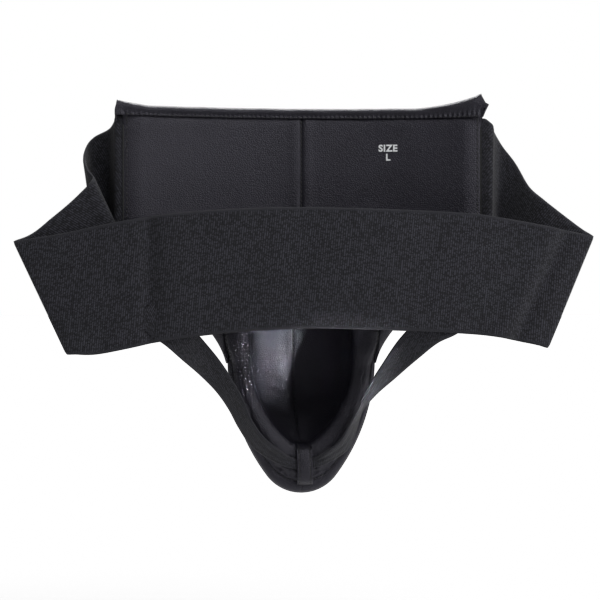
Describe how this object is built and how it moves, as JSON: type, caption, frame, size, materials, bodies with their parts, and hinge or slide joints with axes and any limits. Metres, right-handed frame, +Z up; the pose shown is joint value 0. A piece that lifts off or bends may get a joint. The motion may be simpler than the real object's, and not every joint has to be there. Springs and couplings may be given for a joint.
{
  "type": "groin protector",
  "caption": "Padded hard cup under a bent abdomen pad, with a wide elastic waistband sewn to the pad's sides and an elastic leg strap through a keeper at the cup's tip.",
  "frame": {"origin": "middle of the line that joins the two side seams, where the waistband leaves the pad", "axes": "+Z up the wearer, +X to the wearer's right, +Y to the front: the wearer's body is on the -Y side of the pad and the cup bulges towards +Y"},
  "size_m": [0.444, 0.1196, 0.315],
  "materials": {
    "black_pu_leather": "fine-grained synthetic leather, half gloss",
    "black_ribbed_elastic": "ribbed knitted elastic, matte",
    "firm_foam_board": "closed-cell foam board, matte",
    "grey_foam": "closed-cell foam, matte",
    "moulded_shell": "injection-moulded hard plastic, matte",
    "black_thread": "bonded polyester sewing thread",
    "white_print": "heat-transfer print film, matte"
  },
  "bodies": {
    "guard": {"pad_lining_left": "black_pu_leather", "pad_lining_right": "black_pu_leather", "pad_backing_foam": "firm_foam_board", "pad_front_foam": "grey_foam", "pad_front_cover": "black_pu_leather", "top_binding": "black_pu_leather", "top_binding_thread": "black_thread", "pad_centre_thread": "black_thread", "side_thread_left": "black_thread", "side_thread_right": "black_thread", "size_mark": "white_print", "cup_cover_left": "black_pu_leather", "cup_cover_right": "black_pu_leather", "cup_lining_left": "black_pu_leather", "cup_lining_right": "black_pu_leather", "cup_bumper_foam": "grey_foam", "cup_shell": "moulded_shell", "cup_lining_foam": "grey_foam", "cup_centre_thread": "black_thread", "rim_facing": "black_pu_leather", "rim_roll_foam": "grey_foam", "rim_cover": "black_pu_leather", "rim_thread": "black_thread", "keeper_loop": "black_pu_leather", "keeper_thread": "black_thread", "waistband_end_left": "black_ribbed_elastic", "waistband_end_right": "black_ribbed_elastic", "leg_strap_lower": "black_ribbed_elastic"},
    "waistband": {"waistband_elastic": "black_ribbed_elastic", "leg_strap_left": "black_ribbed_elastic", "leg_strap_right": "black_ribbed_elastic", "strap_tack_left": "black_thread", "strap_tack_right": "black_thread"}
  },
  "joints": [
    {"name": "waistband_swing", "type": "hinge", "parent": "guard", "child": "waistband", "pos_m": [0, 0, 0], "axis": [-1, 0, 0], "range_deg": [0, 35]}
  ]
}
